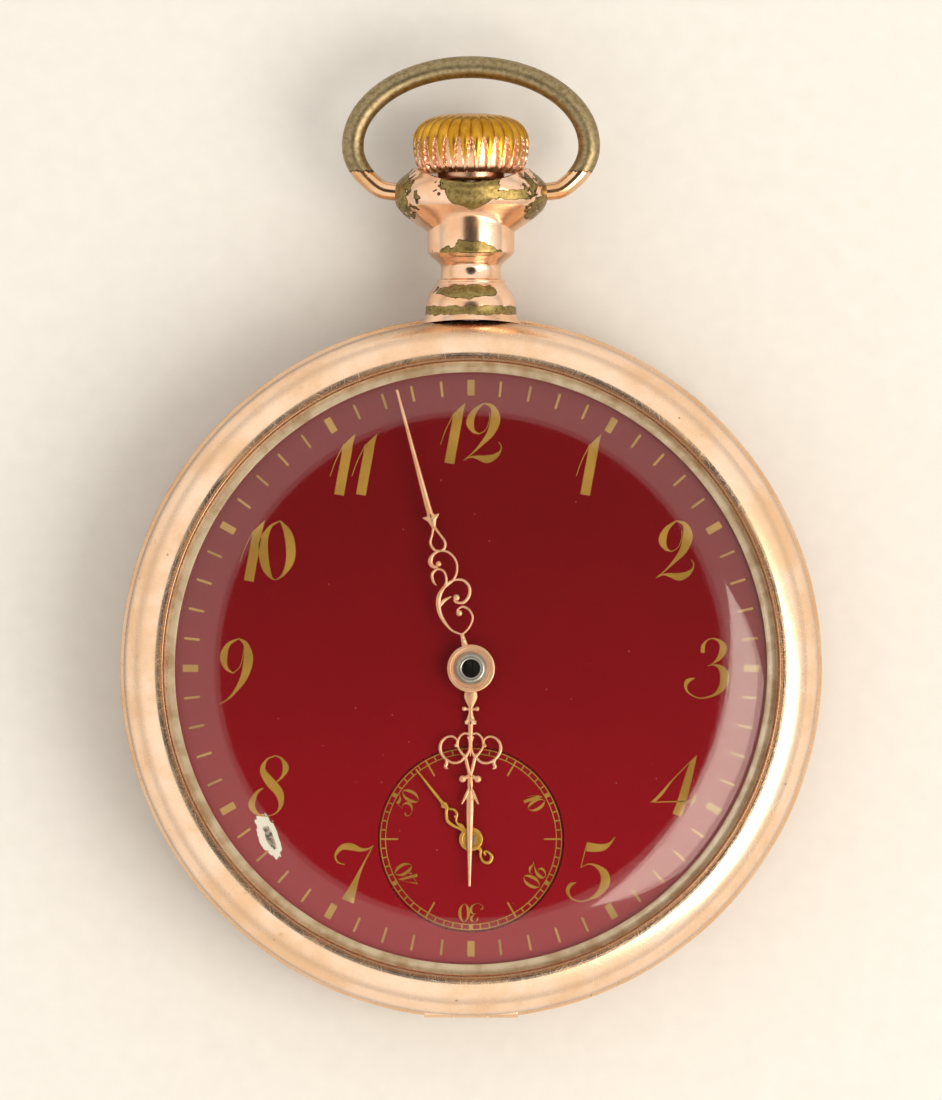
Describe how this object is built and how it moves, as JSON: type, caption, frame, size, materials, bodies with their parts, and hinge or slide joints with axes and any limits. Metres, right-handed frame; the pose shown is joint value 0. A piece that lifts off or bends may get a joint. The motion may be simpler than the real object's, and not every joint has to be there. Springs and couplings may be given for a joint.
{
  "type": "pocket watch",
  "caption": "Open-face pocket watch with a hinged back, an inner dust cover, a lift-off bezel, a winding crown and a swinging bow, around a geared lever movement.",
  "frame": {"origin": "middle of the flat on the outside of the back cover, on which the watch lies", "axes": "+Z out of the dial, +Y from the middle of the dial towards the winding stem, +X towards three o'clock"},
  "size_m": [0.051, 0.0695, 0.0134],
  "materials": {
    "rose_gold": "polished rose gold plate, rubbed through in places",
    "yellow_gold": "polished yellow gold plate",
    "gilt_brass": "fine matt gilding",
    "nickel": "nickelled brass with striped finish",
    "steel": "polished steel",
    "blued_steel": "heat-blued steel",
    "red_enamel": "translucent crimson enamel over metal",
    "hand_gold": "bright gilt",
    "crystal_glass": "clear polished",
    "ruby": "polished jewel"
  },
  "bodies": {
    "back": {"back_cover": "rose_gold"},
    "case": {"case_middle": "rose_gold", "pendant": "rose_gold", "back_hinge_pin": "steel", "cuvette_hinge_pin": "steel", "main_plate": "gilt_brass", "barrel_bridge": "nickel", "train_bridge": "nickel", "balance_cock": "nickel", "pallet_cock": "nickel", "bridge_screw_1": "blued_steel", "bridge_screw_2": "blued_steel", "bridge_screw_3": "blued_steel", "bridge_screw_4": "blued_steel", "bridge_screw_5": "blued_steel", "bridge_screw_6": "blued_steel", "case_screw_1": "blued_steel", "case_screw_2": "blued_steel", "crown_wheel_screw": "blued_steel", "click_spring": "steel", "dial": "red_enamel", "seconds_dial": "red_enamel"},
    "dust_cover": {"cuvette": "yellow_gold"},
    "bezel_group": {"bezel": "rose_gold", "crystal": "crystal_glass"},
    "bow_loop": {"bow": "rose_gold"},
    "winding": {"castle_wheel": "steel", "winding_pinion": "steel"},
    "stem_group": {"stem": "steel", "crown": "yellow_gold"},
    "crown_wheel_group": {"crown_wheel": "steel"},
    "ratchet_group": {"ratchet_wheel": "steel", "barrel_arbor": "steel"},
    "click_lever": {"click": "steel"},
    "barrel_group": {"barrel": "gilt_brass", "barrel_cover": "gilt_brass", "mainspring": "blued_steel"},
    "centre_group": {"centre_arbor": "steel", "centre_wheel": "gilt_brass", "cannon_pinion": "steel", "minute_hand": "hand_gold"},
    "third_group": {"third_arbor": "steel", "third_wheel": "gilt_brass"},
    "seconds_group": {"fourth_arbor": "steel", "fourth_wheel": "gilt_brass", "seconds_hand": "hand_gold"},
    "escape_group": {"escape_arbor": "steel", "escape_wheel": "steel"},
    "minute_wheel_group": {"minute_wheel": "gilt_brass"},
    "hour_group": {"hour_wheel": "gilt_brass", "hour_hand": "hand_gold"},
    "lever": {"pallet_fork": "steel", "entry_stone": "ruby", "exit_stone": "ruby"},
    "balance": {"balance_wheel": "gilt_brass", "balance_staff": "steel", "impulse_pin": "ruby", "hairspring": "blued_steel"}
  },
  "joints": [
    {"name": "back_hinge", "type": "hinge", "parent": "back", "child": "case", "pos_m": [0, -0.02488, 0.0037], "axis": [1, 0, 0], "range_deg": [0, 90]},
    {"name": "dust_cover_hinge", "type": "hinge", "parent": "case", "child": "dust_cover", "pos_m": [0, -0.02355, 0.00345], "axis": [1, 0, 0], "range_deg": [-46, 0.5]},
    {"name": "bezel_lift", "type": "slide", "parent": "case", "child": "bezel_group", "axis": [0, 0, 1], "range_m": [0, 0.014]},
    {"name": "bow_swing", "type": "hinge", "parent": "case", "child": "bow_loop", "pos_m": [0, 0.03435, 0.0059], "axis": [1, 0, 0], "range_deg": [-90, 90]},
    {"name": "winding_turn", "type": "hinge", "parent": "case", "child": "winding", "pos_m": [0, 0.016, 0.0059], "axis": [0, 1, 0], "continuous": true},
    {"name": "crown_pull", "type": "slide", "parent": "winding", "child": "stem_group", "axis": [0, 1, 0], "range_m": [0, 0.0012]},
    {"name": "crown_wheel_turn", "type": "hinge", "parent": "case", "child": "crown_wheel_group", "pos_m": [0, 0.0122, 0.0034], "axis": [0, 0, 1], "continuous": true},
    {"name": "ratchet_turn", "type": "hinge", "parent": "case", "child": "ratchet_group", "pos_m": [-0.0086, 0.0047, 0.0034], "axis": [0, 0, 1], "continuous": true},
    {"name": "click_pivot", "type": "hinge", "parent": "case", "child": "click_lever", "pos_m": [-0.0142, 0.0116, 0.0034], "axis": [0, 0, 1], "range_deg": [0, 12], "stiffness_Nm_per_rad": 0.00001},
    {"name": "seconds_turn", "type": "hinge", "parent": "case", "child": "seconds_group", "pos_m": [0, -0.01228, 0.0057], "axis": [0, 0, 1], "continuous": true},
    {"name": "barrel_turn", "type": "hinge", "parent": "case", "child": "barrel_group", "pos_m": [-0.0086, 0.0047, 0.006], "axis": [0, 0, 1], "continuous": true},
    {"name": "centre_turn", "type": "hinge", "parent": "case", "child": "centre_group", "pos_m": [0, 0, 0.005], "axis": [0, 0, 1], "continuous": true},
    {"name": "third_turn", "type": "hinge", "parent": "case", "child": "third_group", "pos_m": [-0.00425, -0.00666, 0.0045], "axis": [0, 0, 1], "continuous": true},
    {"name": "escape_turn", "type": "hinge", "parent": "case", "child": "escape_group", "pos_m": [0.00625, -0.01, 0.0064], "axis": [0, 0, 1], "continuous": true},
    {"name": "minute_wheel_turn", "type": "hinge", "parent": "case", "child": "minute_wheel_group", "pos_m": [0.0032, 0.0024, 0.0086], "axis": [0, 0, 1], "continuous": true},
    {"name": "hour_turn", "type": "hinge", "parent": "case", "child": "hour_group", "pos_m": [0, 0, 0.009], "axis": [0, 0, 1], "continuous": true},
    {"name": "lever_swing", "type": "hinge", "parent": "case", "child": "lever", "pos_m": [0.00864, -0.00667, 0.0064], "axis": [0, 0, 1], "range_deg": [-5, 5]},
    {"name": "balance_swing", "type": "hinge", "parent": "case", "child": "balance", "pos_m": [0.012, -0.002, 0.0042], "axis": [0, 0, 1], "range_deg": [-220, 220], "stiffness_Nm_per_rad": 0.000005}
  ],
  "couplings": [
    {"joint": "dust_cover_hinge", "follows": "back_hinge", "ratio": -0.5},
    {"joint": "crown_wheel_turn", "follows": "winding_turn", "ratio": 0.5},
    {"joint": "ratchet_turn", "follows": "winding_turn", "ratio": -0.325},
    {"joint": "third_turn", "follows": "seconds_turn", "ratio": -0.13333},
    {"joint": "centre_turn", "follows": "seconds_turn", "ratio": 0.016667},
    {"joint": "barrel_turn", "follows": "seconds_turn", "ratio": -0.0027778},
    {"joint": "escape_turn", "follows": "seconds_turn", "ratio": -10},
    {"joint": "minute_wheel_turn", "follows": "seconds_turn", "ratio": -0.0055556},
    {"joint": "hour_turn", "follows": "seconds_turn", "ratio": 0.0013889}
  ]
}
